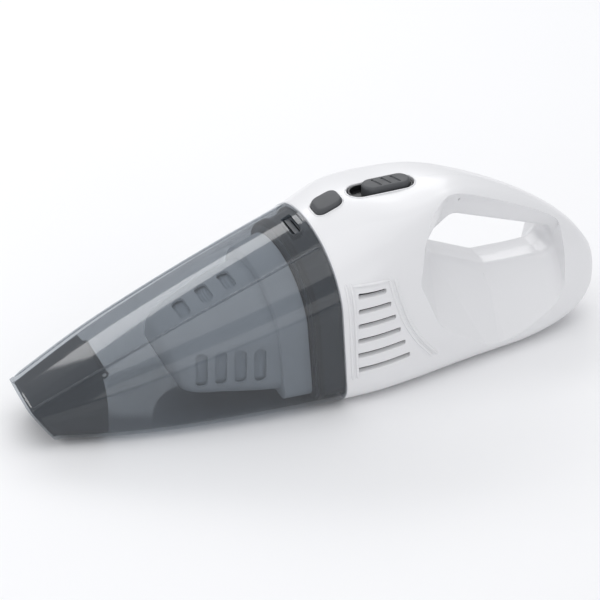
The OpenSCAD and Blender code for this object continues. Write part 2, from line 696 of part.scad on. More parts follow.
// A round bar along a path of points, upright or nearly flat stretches alike
function unit(v) = v / norm(v);
function heading(path, k) = unit(path[min(k + 1, len(path) - 1)] - path[max(k - 1, 0)]);
module tube(path, r, sides) {
    rings = [for (k = [0:len(path) - 1]) let (t = heading(path, k),
        a = unit(cross(t, abs(t[2]) < 0.9 ? [0, 0, 1] : [1, 0, 0])), b = cross(t, a))
        [for (j = [0:sides - 1]) path[k] + r * (cos(360 * j / sides) * a + sin(360 * j / sides) * b)]];
    m = len(rings);
    polyhedron([for (q = rings) each q], concat(
        [[for (j = [0:sides - 1]) j]],
        [for (i = [0:m - 2]) for (j = [0:sides - 1]) let (a = i * sides + j, b = i * sides + (j + 1) % sides)
            each [[a, a + sides, b], [b, a + sides, b + sides]]],
        [[for (j = [sides - 1:-1:0]) (m - 1) * sides + j]]));
}
module lead_wires() {
    color("red") {
        tube([[motor_end + 6.5, 9, axis_z + 1.3], [motor_end + 6, 9.5, axis_z + motor_d / 2 - 6],
            [ring_x + 60, 9.5, axis_z + motor_d / 2 + 4], [ring_x + 55, 8, 74], [ring_x + 51, 4, 85], [switch_x + 5, 2, switch_z - 19.5]], 0.8, 6);
        tube([[motor_end + 6.5, -9, axis_z - 1.3], [motor_end + 7, -9.5, 38], [cell_x - 6, -9.5, 26],
            [cell_x - 3, -9, cell_z + 1], [cell_x - 1.2, -9, cell_z]], 0.8, 6);
    }
}

housing_left();
housing_right();
front_bulkhead();
bowl_seal();
dust_bowl();
intake_duct();
intake_flap();
flap_pin();
filter_frame();
filter_cloth();
filter_seal();
release_button();
release_latch();
release_spring();
switch_tray();
switch_knob();
switch_slider();
switch_body();
fan_housing();
impeller();
impeller_nut();
motor_shaft();
motor_can();
motor_end_cap();
motor_terminals();
motor_screws();
motor_damper();
battery_cells();
battery_holder();
cell_straps();
charge_board();
board_parts();
charge_socket();
foam_left();
foam_right();
housing_screws();
lead_wires();
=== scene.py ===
# %% [markdown]
# # A handheld vacuum, dressed cell by cell
# The measured model is already packed as a frame of fixed solids. Here its looks are made:
# smooth skins, rounded edges and real finishes, each riding on the body it belongs to.
# Everything is worked out in millimetres, as a workshop drawing is, and turned into metres
# only when a mesh is made.

# %% Load the frame
import math
import bmesh
import bpy
from mathutils import Matrix, Vector
from mathutils.bvhtree import BVHTree


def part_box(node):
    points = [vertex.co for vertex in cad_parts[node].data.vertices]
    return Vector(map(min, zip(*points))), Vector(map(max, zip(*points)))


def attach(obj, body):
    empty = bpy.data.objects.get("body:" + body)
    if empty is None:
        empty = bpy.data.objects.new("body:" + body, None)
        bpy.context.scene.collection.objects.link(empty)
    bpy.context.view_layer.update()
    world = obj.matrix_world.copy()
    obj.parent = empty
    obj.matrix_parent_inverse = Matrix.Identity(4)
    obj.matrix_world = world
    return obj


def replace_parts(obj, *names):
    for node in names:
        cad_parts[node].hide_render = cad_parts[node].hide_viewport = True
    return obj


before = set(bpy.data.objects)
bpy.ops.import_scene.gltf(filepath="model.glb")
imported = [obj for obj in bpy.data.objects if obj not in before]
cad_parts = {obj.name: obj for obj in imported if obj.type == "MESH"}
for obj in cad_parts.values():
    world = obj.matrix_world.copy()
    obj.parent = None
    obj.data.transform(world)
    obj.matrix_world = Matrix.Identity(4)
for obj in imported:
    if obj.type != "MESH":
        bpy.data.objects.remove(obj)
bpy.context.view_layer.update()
MM = 0.001

# %% [markdown]
# ## The camera
# A long lens from 1.4 metres keeps the object nearly free of perspective, as small
# appliances are usually shown. It looks down on the side with the air slots.

# %% Camera
FOCAL, SENSOR, EYE_DISTANCE = 142.8, 36, 1.4
EYE_AT, LOOK_AT = (-23, 32), (-0.0096, 0, 0.047)


def back_from(azimuth, elevation):
    """The direction from the object to an eye at that azimuth and elevation."""
    a, e = math.radians(azimuth), math.radians(elevation)
    return Vector((math.sin(a) * math.cos(e), -math.cos(a) * math.cos(e), math.sin(e)))


eye = bpy.data.objects.new("eye", bpy.data.cameras.new("eye"))
bpy.context.scene.collection.objects.link(eye)
eye.data.lens, eye.data.sensor_width = FOCAL, SENSOR
eye.location = Vector(LOOK_AT) + back_from(*EYE_AT) * EYE_DISTANCE
eye.rotation_mode = "QUATERNION"
eye.rotation_quaternion = (-back_from(*EYE_AT)).to_track_quat("-Z", "Y")
eye.data.clip_start, eye.data.clip_end = 0.05, 50
bpy.context.scene.camera = eye
print("camera at", [round(value, 3) for value in eye.location])

# %% [markdown]
# ## Light and floor
# Glossy white plastic shows its shape only through soft gradients, so the lights are large
# panels: a broad one above, a strip behind that draws the long streaks on the clear bowl, and
# a weak one on the side with the slots, with one more off the mouth. The floor is a plain pale
# sheet, a hair below the object so that the two never share a surface.

# %% Studio
AIM, FLOOR_HALF, FLOOR_DROP = (0, 0, 0.05), 4, 0.0004


def panel(name, azimuth, elevation, distance, size, power):
    """A rectangular soft light that looks at the object."""
    light = bpy.data.lights.new(name, "AREA")
    light.shape, light.size, light.size_y, light.energy = "RECTANGLE", size[0], size[1], power
    lamp = bpy.data.objects.new(name, light)
    bpy.context.scene.collection.objects.link(lamp)
    toward = back_from(azimuth, elevation)
    lamp.location = Vector(AIM) + toward * distance
    lamp.rotation_mode = "QUATERNION"
    lamp.rotation_quaternion = toward.to_track_quat("Z", "Y")
    print(name, power, "W")


panel("top_panel", azimuth=-10, elevation=78, distance=1.3, size=(1.5, 1.2), power=5.4)
panel("back_strip", azimuth=172, elevation=38, distance=1.4, size=(1.6, 0.35), power=6)
panel("mouth_panel", azimuth=-95, elevation=30, distance=1.3, size=(0.7, 0.9), power=2.5)
panel("side_panel", azimuth=-5, elevation=16, distance=1.6, size=(1.5, 0.6), power=2.2)
world = bpy.data.worlds.new("pale_room")
bpy.context.scene.world = world
world.use_nodes = True
world.node_tree.nodes["Background"].inputs["Color"].default_value = (0.96, 0.97, 1, 1)
world.node_tree.nodes["Background"].inputs["Strength"].default_value = 0.62
bpy.context.scene.view_settings.view_transform = "Standard"

bm = bmesh.new()
bmesh.ops.create_grid(bm, x_segments=2, y_segments=2, size=FLOOR_HALF)
floor_mesh = bpy.data.meshes.new("floor")
bm.to_mesh(floor_mesh)
bm.free()
floor = bpy.data.objects.new("floor", floor_mesh)
bpy.context.scene.collection.objects.link(floor)
floor.location.z = -FLOOR_DROP

# %% [markdown]
# ## Finishes
# Each finish is a small node tree on Object coordinates, which are metres here: a fine noise
# breaks up the colour, a second one the gloss, and a third lifts the surface by a few
# hundredths of a millimetre at most, as moulding and handling do. `finish` makes that base; the
# special ones below add their own pattern to it.

# %% The base of every finish
FINISHES = {}
MIX_LOW, MIX_HIGH, MIX_COLOUR = 6, 7, 2
GLOSS_PATCH, GRAIN_STRENGTH, COAT_GLOSS = 2.3, 0.35, 0.08


def node(tree, kind, **values):
    """A new node with its settings and its input values; a value may be another node's socket."""
    n = tree.nodes.new(kind)
    for key, value in values.items():
        if hasattr(n, key) and key not in n.inputs:
            setattr(n, key, value)
            continue
        socket = n.inputs[int(key[1:]) if key[0] == "_" else key.replace("_", " ")]
        if isinstance(value, bpy.types.NodeSocket):
            tree.links.new(value, socket)
        else:
            socket.default_value = value
    return n


def noise(tree, where, scale, detail=3):
    """A cloudy pattern; a bigger scale is finer."""
    return node(tree, "ShaderNodeTexNoise", Vector=where, Scale=scale, Detail=detail,
                Roughness=0.55).outputs["Fac"]


def between(tree, fac, low, high):
    """Two colours mixed by a factor."""
    m = node(tree, "ShaderNodeMix", data_type="RGBA")
    tree.links.new(fac, m.inputs[0])
    m.inputs[MIX_LOW].default_value, m.inputs[MIX_HIGH].default_value = (*low, 1), (*high, 1)
    return m.outputs[MIX_COLOUR]


def stretch(tree, fac, low, high):
    """A factor spread over a range of values."""
    return node(tree, "ShaderNodeMapRange", Value=fac, To_Min=low, To_Max=high).outputs[0]


def finish(name, low, high, rough=(0.3, 0.4), patch=60, grain=900, depth=0.02, metal=0.0,
           specular=0.5, coat=0.0, sheen=0.0):
    """A base finish: two shades in soft patches, a gloss that wanders and a fine raised grain."""
    made = bpy.data.materials.new(name)
    made.use_nodes = True
    tree = made.node_tree
    shader = tree.nodes["Principled BSDF"]
    where = node(tree, "ShaderNodeTexCoord").outputs["Object"]
    tree.links.new(between(tree, noise(tree, where, patch), low, high), shader.inputs["Base Color"])
    gloss = stretch(tree, noise(tree, where, patch * GLOSS_PATCH), *rough)
    tree.links.new(gloss, shader.inputs["Roughness"])
    bump = node(tree, "ShaderNodeBump", Strength=GRAIN_STRENGTH, Distance=depth * MM,
                Height=noise(tree, where, grain))
    tree.links.new(bump.outputs[0], shader.inputs["Normal"])
    shader.inputs["Metallic"].default_value = metal
    shader.inputs["Specular IOR Level"].default_value = specular
    shader.inputs["Coat Weight"].default_value = coat
    shader.inputs["Coat Roughness"].default_value = COAT_GLOSS
    shader.inputs["Sheen Weight"].default_value = sheen
    FINISHES[name] = made
    return tree, shader, where, bump


# %% [markdown]
# ### Plastics and rubber
# The housing is injection-moulded white plastic off a polished tool, so it is bright and
# glossy with hardly any grain. The dark mouldings come off a spark-eroded tool and are duller.
# Rubber is duller still, with a faint bloom.

# %% Plastics
finish("white_abs", (0.79, 0.79, 0.80), (0.81, 0.81, 0.82), rough=(0.30, 0.335), patch=9,
       grain=1500, depth=0.004, coat=0.2)
finish("dark_plastic", (0.030, 0.034, 0.040), (0.045, 0.050, 0.057), rough=(0.36, 0.46), grain=2600,
       depth=0.006)
finish("button_grey", (0.055, 0.058, 0.063), (0.072, 0.075, 0.081), rough=(0.42, 0.55), grain=3000,
       depth=0.035)
finish("tray_black", (0.008, 0.008, 0.009), (0.016, 0.016, 0.018), rough=(0.3, 0.45), grain=2600,
       depth=0.02)
finish("rubber", (0.010, 0.010, 0.011), (0.022, 0.022, 0.023), rough=(0.55, 0.72), grain=1800,
       depth=0.04, sheen=0.15)
finish("filter_white", (0.60, 0.62, 0.64), (0.68, 0.70, 0.72), rough=(0.4, 0.52), grain=2200,
       depth=0.03)
print(len(FINISHES), "plastics and rubbers")

# %% [markdown]
# ### The clear bowl
# A tinted wall two millimetres thick does three things: it dims what is behind it, it mirrors
# the lights, more so at a glancing angle, and it carries a slight milkiness. Real refraction
# would do it too, at the price of a dark and noisy inside. A transparent shader with a tint, a
# mirror mixed in by Fresnel and a little diffuse grey say the same, and light still reaches
# what lies inside. A ray that leaves the wall meets its face from behind, where Fresnel alone
# would make a full mirror, so the back of each face has none.

# %% Tinted clear plastic
TINT, MILKINESS, MIRROR_ROUGH = (0.745, 0.765, 0.785, 1), 0.10, 0.07
tree, shader, where, bump = finish("tinted_clear", (0.16, 0.18, 0.205), (0.20, 0.22, 0.245),
                                   rough=(0.1, 0.16), patch=22, grain=600, depth=0.004)
see = node(tree, "ShaderNodeBsdfTransparent", Color=TINT)
mirror = node(tree, "ShaderNodeBsdfGlossy", Color=(1, 1, 1, 1), Roughness=MIRROR_ROUGH)
tree.links.new(bump.outputs[0], mirror.inputs["Normal"])
edge = node(tree, "ShaderNodeFresnel", IOR=1.5)
from_inside = node(tree, "ShaderNodeNewGeometry").outputs["Backfacing"]
outer = node(tree, "ShaderNodeMath", operation="SUBTRACT", use_clamp=True, _0=edge.outputs[0],
             _1=from_inside)
body_mix = node(tree, "ShaderNodeMixShader", Fac=MILKINESS, _1=see.outputs[0], _2=shader.outputs[0])
skin_mix = node(tree, "ShaderNodeMixShader", Fac=outer.outputs[0], _1=body_mix.outputs[0],
                _2=mirror.outputs[0])
tree.links.new(skin_mix.outputs[0], tree.nodes["Material Output"].inputs["Surface"])
print("clear plastic from", len(tree.nodes), "nodes")

# %% [markdown]
# ### Metals
# The shaft and the screws are turned and the motor's can is drawn, so their marks run one way.
# Noise that a Mapping node stretches along the axis gives those marks, and one loop makes all
# four metals, because only their colour and gloss differ.

# %% Metals
BRUSHED, MARK_DEPTH = (0.04, 1, 1), 0.02
for name, low, high, rough in (("steel", (0.50, 0.51, 0.52), (0.62, 0.62, 0.63), (0.24, 0.36)),
                               ("aluminium", (0.62, 0.63, 0.64), (0.74, 0.75, 0.76), (0.28, 0.42)),
                               ("brass", (0.55, 0.39, 0.15), (0.68, 0.50, 0.22), (0.25, 0.38)),
                               ("can_steel", (0.34, 0.35, 0.36), (0.44, 0.45, 0.46), (0.3, 0.45))):
    tree, shader, where, bump = finish(name, low, high, rough=rough, metal=1.0)
    along = node(tree, "ShaderNodeMapping", Vector=where, Scale=BRUSHED).outputs[0]
    tree.links.new(noise(tree, along, 2600, 4), bump.inputs["Height"])
    bump.inputs["Distance"].default_value = MARK_DEPTH * MM
print("metals done,", len(FINISHES), "finishes so far")

# %% [markdown]
# ### Filter cloth and foam
# The filter is a woven cloth: two crossed waves, the higher of them on top, make its threads.
# Foam is open cells, which is what a Voronoi pattern draws. Both patterns lift the surface and
# darken the colour in the hollows, which is partly dust and partly painted shade.

# %% Filter cloth and foam
THREADS, THREAD_DEPTH, FOAM_CELLS, FOAM_DEPTH = 420, 0.15, 900, 0.4


def waves(tree, where, direction):
    """The threads that run one way."""
    return node(tree, "ShaderNodeTexWave", Vector=where, Scale=THREADS,
                bands_direction=direction).outputs["Fac"]


tree, shader, where, bump = finish("filter_cloth", (0.50, 0.53, 0.56), (0.62, 0.65, 0.68),
                                   rough=(0.75, 0.9), sheen=0.4)
weave = node(tree, "ShaderNodeMath", operation="MAXIMUM", _0=waves(tree, where, "X"),
             _1=waves(tree, where, "Z"))
tree.links.new(weave.outputs[0], bump.inputs["Height"])
bump.inputs["Distance"].default_value = THREAD_DEPTH * MM
# painted shade, partly dust: the cloth's colour is darker in the hollows between the threads
tree.links.new(between(tree, weave.outputs[0], (0.40, 0.43, 0.46), (0.66, 0.69, 0.72)),
               shader.inputs["Base Color"])

tree, shader, where, bump = finish("foam", (0.03, 0.03, 0.032), (0.06, 0.06, 0.062),
                                   rough=(0.85, 0.95), sheen=0.2)
cells = node(tree, "ShaderNodeTexVoronoi", Vector=where, Scale=FOAM_CELLS).outputs["Distance"]
tree.links.new(cells, bump.inputs["Height"])
bump.inputs["Distance"].default_value = FOAM_DEPTH * MM
# painted shade, partly dust: the foam's colour is darker in the hollows of its cells
tree.links.new(between(tree, cells, (0.012, 0.012, 0.013), (0.075, 0.075, 0.08)),
               shader.inputs["Base Color"])
print("cloth and foam done")

# %% [markdown]
# ### Battery sleeve, board, wire and floor
# A battery cell wears a blue shrink sleeve with a pale band at its far end, which is a plain
# step along the body. The board has copper tracks under green lacquer, and a brick pattern
# lays them out. The wire and the floor need only the base.

# %% Battery sleeve, board, wire and floor
PALE_BAND_FROM, TRACKS = 0.133, 260
tree, shader, where, bump = finish("cell_wrap", (0.02, 0.16, 0.30), (0.03, 0.20, 0.36),
                                   rough=(0.22, 0.32), grain=700, depth=0.03)
reach = node(tree, "ShaderNodeSeparateXYZ", Vector=where).outputs["X"]
pale = node(tree, "ShaderNodeMath", operation="GREATER_THAN", _0=reach, _1=PALE_BAND_FROM)
tree.links.new(between(tree, pale.outputs[0], (0.022, 0.17, 0.32), (0.62, 0.66, 0.68)),
               shader.inputs["Base Color"])

tree, shader, where, bump = finish("board_green", (0.01, 0.12, 0.05), (0.02, 0.17, 0.07),
                                   rough=(0.25, 0.4))
tracks = node(tree, "ShaderNodeTexBrick", Vector=where, Scale=TRACKS,
              Color1=(0.012, 0.13, 0.05, 1), Color2=(0.02, 0.20, 0.08, 1),
              Mortar=(0.05, 0.30, 0.13, 1))
tree.links.new(tracks.outputs["Color"], shader.inputs["Base Color"])
finish("wire_red", (0.42, 0.02, 0.02), (0.52, 0.035, 0.03), rough=(0.35, 0.5), grain=500)
finish("floor_paper", (0.90, 0.90, 0.905), (0.92, 0.92, 0.925), rough=(0.7, 0.8), patch=3,
       grain=200, depth=0.01)
floor_mesh.materials.append(FINISHES["floor_paper"])
print(sorted(FINISHES))

# %% [markdown]
# ### Dress the measured solids
# The inner pieces have the right shape already: each takes the finish that its record names.

# %% Finishes on the frame's own solids
dressed = 0
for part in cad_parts.values():
    for held in part.material_slots:
        base = held.material.name.split(".")[0] if held.material else ""
        if base in FINISHES:
            held.material = FINISHES[base]
            dressed += 1
        else:
            print("no finish for", part.name, base)
print("slots dressed", dressed)

# %% [markdown]
# ## The body as a run of sections
# The whole body, bowl and housing alike, is one smooth form cut at the joint ring. It is drawn
# as a few sections, each with its place along the belly, bottom, height of the top edges, half
# width, lower corner, half width of the top, height of the shoulder, lean, how far round the
# shoulder turns before a crease, and how much the top is domed.

# %% Sections
RING_X, RING_H, LEAN, HALF_W, MOUTH_TOP = -1.0, 98.5, 5.8, 52.0, 25.0
BOWL_LEN, HOUSING_LEN, BODY_H, MOUTH_U = 182.5, 184.5, 113.0, -168.0
WALL, BOWL_WALL, CREASE = 2.4, 2.0, 58


def blend(a, b, t):
    """A value between two others."""
    return a + (b - a) * t


def top_line(u, lean, rise):
    """The straight line from the mouth's top to the ring's top, lifted by rise."""
    return RING_H + rise + (RING_H - MOUTH_TOP) * (u - lean + LEAN) / (BOWL_LEN - LEAN)


def bowl_row(share, low, lean, rise, width, corner, flat, shoulder, dome):
    """A section of the bowl, at a share of the way from the ring to the mouth."""
    u = MOUTH_U * share
    return (u, low, top_line(u, lean, rise), blend(23, HALF_W, width), corner, flat, shoulder,
            lean, CREASE, dome)


ROWS = [(MOUTH_U, 3, MOUTH_TOP, 23, 7, 17.5, 12, 14.5, CREASE, 1),
        bowl_row(0.75, 0.6, 12, 2.7, 0.42, 11, 22.5, 20, 2),
        bowl_row(0.5, 0, 9, 3, 0.7, 13, 24.8, 26, 3.2),
        bowl_row(0.25, 0, 7, 1.8, 0.89, 15, 26, 30, 4.2),
        (0, 0, RING_H, HALF_W, 16, 26.5, 33, LEAN, CREASE, 4.8)]
for share, low, top, wide, *rest in ((0.12, 0, 0.955, 1, 16, 28.5, 34, 4, 72, 4),
                                     (0.27, 0, 0.975, 0.93, 16, 27, 36, 2, 84, 2.2),
                                     (0.39, 0, 0.985, 0.85, 16, 19, 50, 0, 90, 1.8),
                                     (0.51, 0, 0.955, 0.78, 16, 9, 70, 0, 90, 1),
                                     (0.665, 0, 0.845, 0.69, 15, 5, 66, 0, 90, 0.6),
                                     (0.805, 2.5, 0.705, 0.58, 14, 4, 52, 0, 90, 0.4),
                                     (0.91, 8.5, 0.565, 0.45, 12, 3, 38, 0, 90, 0.2),
                                     (0.97, 17.5, 0.44, 0.3, 9, 3, 20, 0, 90, 0),
                                     (1, 29, 0.345, 0.1, 3, 1.5, 5, 0, 90, 0)):
    ROWS.append((share * HOUSING_LEN, low, top * BODY_H, wide * HALF_W, *rest))
print(len(ROWS), "sections")

# %% [markdown]
# ### A section anywhere
# A smooth curve runs through the rows, so a section can be asked for at any place, and a fine
# mesh follows the same form as the measured solids. The curve is worked out here because the
# inside of a wall needs the same outline again, only pulled in.

# %% A section anywhere
def eased(p, q, m, n, h, t):
    """From p to q with the slopes m and n at the ends of a step h, at its share t."""
    return (p * (2 * t**3 - 3 * t * t + 1) + q * (3 * t * t - 2 * t**3)
            + m * h * (t**3 - 2 * t * t + t) + n * h * (t**3 - t * t))


def slopes(rows, i):
    """How fast each measure changes at a row."""
    a, b = rows[max(i - 1, 0)], rows[min(i + 1, len(rows) - 1)]
    return [(q - p) / (b[0] - a[0]) for p, q in zip(a, b)]


def section(rows, u):
    """The section at any place, on the smooth curve through the rows."""
    i = max([k for k in range(len(rows) - 1) if k == 0 or u >= rows[k][0]])
    a, b, h = rows[i], rows[i + 1], rows[i + 1][0] - rows[i][0]
    ends = zip(a, b, slopes(rows, i), slopes(rows, i + 1))
    return [eased(p, q, m, n, h, (u - a[0]) / h) for p, q, m, n in ends]


def loop(rows, u, inset, low_steps=9, up_steps=14, dome_steps=8):
    """The closed outline of the section at u, pulled in by an inset, as points in millimetres."""
    s = section(rows, u)
    wide, corner, bottom = s[3] - inset, max(s[4] - inset, 0.6), max(s[1], 0) + inset
    top, flat = s[2] - inset, max(s[5] - inset * 0.4, 0.5)
    rise = min(s[6] - inset * 0.5, top - bottom - corner)
    end = math.radians(s[8])
    side = []
    for k in range(low_steps + 1):
        a = math.pi / 2 * k / low_steps
        side.append((wide - corner + corner * math.sin(a), bottom + corner - corner * math.cos(a)))
    for k in range(up_steps + 1):
        a = end * k / up_steps
        side.append((flat + (wide - flat) * (math.cos(a) - math.cos(end)) / (1 - math.cos(end)),
                     top - rise + rise * math.sin(a) / math.sin(end)))
    for k in range(1, dome_steps):
        t = 1 - k / dome_steps
        side.append((flat * t, top + s[9] * (1 - t * t)))
    whole = side + [(-y, z) for y, z in reversed(side)]
    return [Vector((RING_X + s[0] - s[7] * (z - s[1]) / (s[2] - s[1]), y, z)) for y, z in whole]


def span(start, end, steps):
    """Even places from start to end."""
    return [start + (end - start) * k / steps for k in range(steps + 1)]


print("section at the joint ring", [round(value, 1) for value in section(ROWS, 0)])

# %% [markdown]
# ## From outlines to meshes
# A skin starts as a circle whose points are moved to the first outline; its edge is extruded
# from outline to outline, and the ends are filled, or joined where the run comes back to its
# start. A run that goes out along the outside and back along the inside is a wall.

# %% Skins
def edges_among(verts):
    """The edges that join two of these vertices, in the same order each time."""
    members = set(verts)
    return list(dict.fromkeys(e for v in verts for e in v.link_edges if e.other_vert(v) in members))


def extrude_ring(bm, ring, target):
    """Extrude a closed ring of vertices and put the new ones on the target points."""
    made = bmesh.ops.extrude_edge_only(bm, edges=edges_among(ring))
    fresh = {v for v in made["geom"] if isinstance(v, bmesh.types.BMVert)}
    after = []
    for old, point in zip(ring, target):
        new = next(e.other_vert(old) for e in old.link_edges if e.other_vert(old) in fresh)
        new.co = point
        after.append(new)
    return after


def skin(bm, outlines, joined=False):
    """A closed surface over a run of outlines."""
    ring = list(bmesh.ops.create_circle(bm, segments=len(outlines[0]), radius=1)["verts"])
    for vert, point in zip(ring, outlines[0]):
        vert.co = point
    first, start = ring, edges_among(ring)
    for outline in outlines[1:] + ([outlines[0]] if joined else []):
        ring = extrude_ring(bm, ring, outline)
    if joined:
        bmesh.ops.remove_doubles(bm, verts=first + ring, dist=1e-5)
    else:
        last = edges_among(ring)
        bmesh.ops.edgeloop_fill(bm, edges=start)
        bmesh.ops.edgeloop_fill(bm, edges=last)


trial = bmesh.new()
skin(trial, [loop(ROWS, u, 0) for u in (0, 40, 80)])
print("a trial skin has", len(trial.faces), "faces and",
      sum(not e.is_manifold for e in trial.edges), "open edges")
trial.free()

# %% [markdown]
# ### Slabs and bars
# Buttons, trays, pockets and slots are all a flat outline pulled up into a prism, its top edges
# rounded by a bevel. A raised line is a round bar that follows a path. Both are drawn into a
# mesh that may hold other shapes already, so a cutter can be made of many.

# %% Slabs and bars
BAR_TIP = 0.35


def slab(bm, outline, low, high, place=Matrix(), rounding=0, steps=4):
    """A prism over a flat outline, its top edges rounded."""
    before = set(bm.verts)
    ring = bmesh.ops.create_circle(bm, cap_ends=True, segments=len(outline), radius=1)["verts"]
    for vert, point in zip(ring, outline):
        vert.co = (point[0], point[1], low)
    base = ring[0].link_faces[0]
    made = bmesh.ops.extrude_face_region(bm, geom=[base])["geom"]
    top = [g for g in made if isinstance(g, bmesh.types.BMVert)]
    bmesh.ops.translate(bm, verts=top, vec=(0, 0, high - low))
    if rounding:
        bmesh.ops.bevel(bm, geom=edges_among(top), offset=rounding, offset_type="OFFSET",
                        affect="EDGES", segments=steps, profile=0.5, material=-1)
    bmesh.ops.transform(bm, matrix=place, verts=[v for v in bm.verts if v not in before])


def bar(bm, path, radius, sides=10, closed=False):
    """A round bar along a path, thin at its ends; a closed one runs back to its start."""
    outlines = []
    for k, point in enumerate(path):
        after = (k + 1) % len(path) if closed else min(k + 1, len(path) - 1)
        run = (path[after] - path[k - 1 if closed else max(k - 1, 0)]).normalized()
        across = run.cross(Vector((0, 1, 0)) if abs(run.y) < 0.9 else Vector((0, 0, 1))).normalized()
        up = run.cross(across)
        share = BAR_TIP if not closed and k in (0, len(path) - 1) else 1
        outlines.append([point + share * radius * (math.cos(2 * math.pi * j / sides) * across
                         + math.sin(2 * math.pi * j / sides) * up) for j in range(sides)])
    skin(bm, outlines, joined=closed)


def rounded(width, length, corner, steps=8):
    """The outline of a rectangle with round corners; a corner of half the width makes a stadium."""
    points = []
    for k, (sx, sy) in enumerate(((1, 1), (-1, 1), (-1, -1), (1, -1))):
        for j in range(steps + 1):
            a = math.pi / 2 * (k + j / steps)
            points.append((sx * (length / 2 - corner) + corner * math.cos(a),
                           sy * (width / 2 - corner) + corner * math.sin(a)))
    return [p for k, p in enumerate(points) if math.dist(p, points[k - 1]) > 1e-6]


print("a round corner takes", len(rounded(10, 10, 2)) // 4, "points")

# %% [markdown]
# ### Pieces and cuts
# A drawing in millimetres becomes an object in metres here, its faces turned outwards. Openings
# are cut with Boolean modifiers that are applied at once. Every shape here is closed, so the
# solver for closed meshes can do it, which is quick and leaves closed meshes again. `settle`
# gives a piece its finish, smooth shading with crisp edges and the body that it rides on.

# %% Pieces and cuts
def thing(name, bm):
    """An object from a mesh drawn in millimetres, its faces turned outwards."""
    bmesh.ops.recalc_face_normals(bm, faces=bm.faces)
    bmesh.ops.scale(bm, verts=bm.verts, vec=(MM, MM, MM))
    mesh = bpy.data.meshes.new(name)
    bm.to_mesh(mesh)
    bm.free()
    made = bpy.data.objects.new(name, mesh)
    bpy.context.scene.collection.objects.link(made)
    return made


def drawn(name, draw):
    """An object from a function that draws into an empty mesh."""
    bm = bmesh.new()
    draw(bm)
    return thing(name, bm)


def carve(target, *tools, how="DIFFERENCE"):
    """Cut tools out of a target, or join or keep the common part, and drop the tools."""
    for tool in tools:
        cut = target.modifiers.new("cut", "BOOLEAN")
        cut.operation, cut.solver, cut.object = how, "MANIFOLD", tool
        fresh = bpy.data.meshes.new_from_object(
            target.evaluated_get(bpy.context.evaluated_depsgraph_get()))
        target.modifiers.clear()
        target.data = fresh
        bpy.data.objects.remove(tool)
    return target


def settle(piece, material, body, sharp=32):
    """Give a piece its finish, smooth shading with crisp edges and its body."""
    piece.data.materials.clear()
    piece.data.materials.append(FINISHES[material])
    piece.data.shade_smooth()
    piece.data.set_sharp_from_angle(angle=math.radians(sharp))
    piece.data.name = piece.name
    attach(piece, body)
    print(piece.name, len(piece.data.polygons), "faces")
    return piece


# %% [markdown]
# ## The finger hole
# The grip is what is left above a hole that flares out to the flanks in a wide scoop. Each of
# its outlines is a rubber band round four or six circles, seen from the side: the straight
# hole, the waist past the grip, and the rim on the flank. The cutter runs smoothly through all
# three, so the scoop is a soft dish with one crisp rim.

# %% The flared cutter
HOLE_X = RING_X + 68.5
HOLE_END = HOLE_X + 84.5
HOLE = [(HOLE_X + 9.5, 74, 9.5), (HOLE_X + 17, 81.5, 8), (HOLE_END - 9.5, 59, 9.5),
        (HOLE_X + 41, 60.5, 10)]
WAIST = [(HOLE_X + 8.5, 74, 11), (HOLE_X + 16, 93, 9), (HOLE_END - 9, 70, 10),
         (HOLE_END - 10.5, 57, 10.5), (HOLE_X + 41, 57, 11.5)]
RIM = [(HOLE_X - 7, 74, 15), (HOLE_X + 2, 120, 15), (HOLE_END - 12, 105, 14),
       (HOLE_END - 15, 18, 15), (HOLE_X + 43, 20, 20), (HOLE_X + 7, 50, 18)]
GRIP_AT, WAIST_AT, RIM_AT, PAST_FLANK = 9, 14, 45, 60


def band_round(circles, grow, directions=88):
    """A rubber band round circles, one point for each direction."""
    points = []
    for k in range(directions):
        a = 2 * math.pi * k / directions
        x, z, r = max(circles, key=lambda c: c[0] * math.cos(a) + c[1] * math.sin(a) + c[2])
        points.append((x + (r + grow) * math.cos(a), z + (r + grow) * math.sin(a)))
    return points


def flare(bm, grow=0.0):
    """The cutter of the finger hole, grown all round where a wall is wanted."""
    hole, waist, rim = (band_round(circles, grow) for circles in (HOLE, WAIST, RIM))

    def point(k, reach):
        if reach <= GRIP_AT or reach >= RIM_AT:
            return hole[k] if reach <= GRIP_AT else rim[k]
        middle = [(c - a) / (RIM_AT - GRIP_AT) for a, c in zip(hole[k], rim[k])]
        last = [(c - b) / (RIM_AT - WAIST_AT) for b, c in zip(waist[k], rim[k])]
        start, end, *ends = ((GRIP_AT, WAIST_AT, hole[k], waist[k], (0, 0), middle) if reach < WAIST_AT
                             else (WAIST_AT, RIM_AT, waist[k], rim[k], middle, last))
        return [eased(*values, end - start, (reach - start) / (end - start)) for values in zip(*ends)]

    half = [0, GRIP_AT, 9.7, 10.5, 11.5, 12.6, WAIST_AT, 16, 18.5, 21, 24, 27, 30, 34, 38, 42, RIM_AT,
            PAST_FLANK]
    skin(bm, [[Vector((x, y, z)) for x, z in (point(k, abs(y)) for k in range(len(hole)))]
              for y in [-y for y in half[:0:-1]] + half])


print("finger hole from", HOLE_X, "to", HOLE_END)

# %% [markdown]
# ## The housing
# It is two halves that meet on the middle plane. The outside is one fine skin; the inside is a
# second skin a wall's thickness in, from which the lining of the finger hole, the screw posts
# and the motor's saddle are kept. The button's and the tray's places are read from the frame.

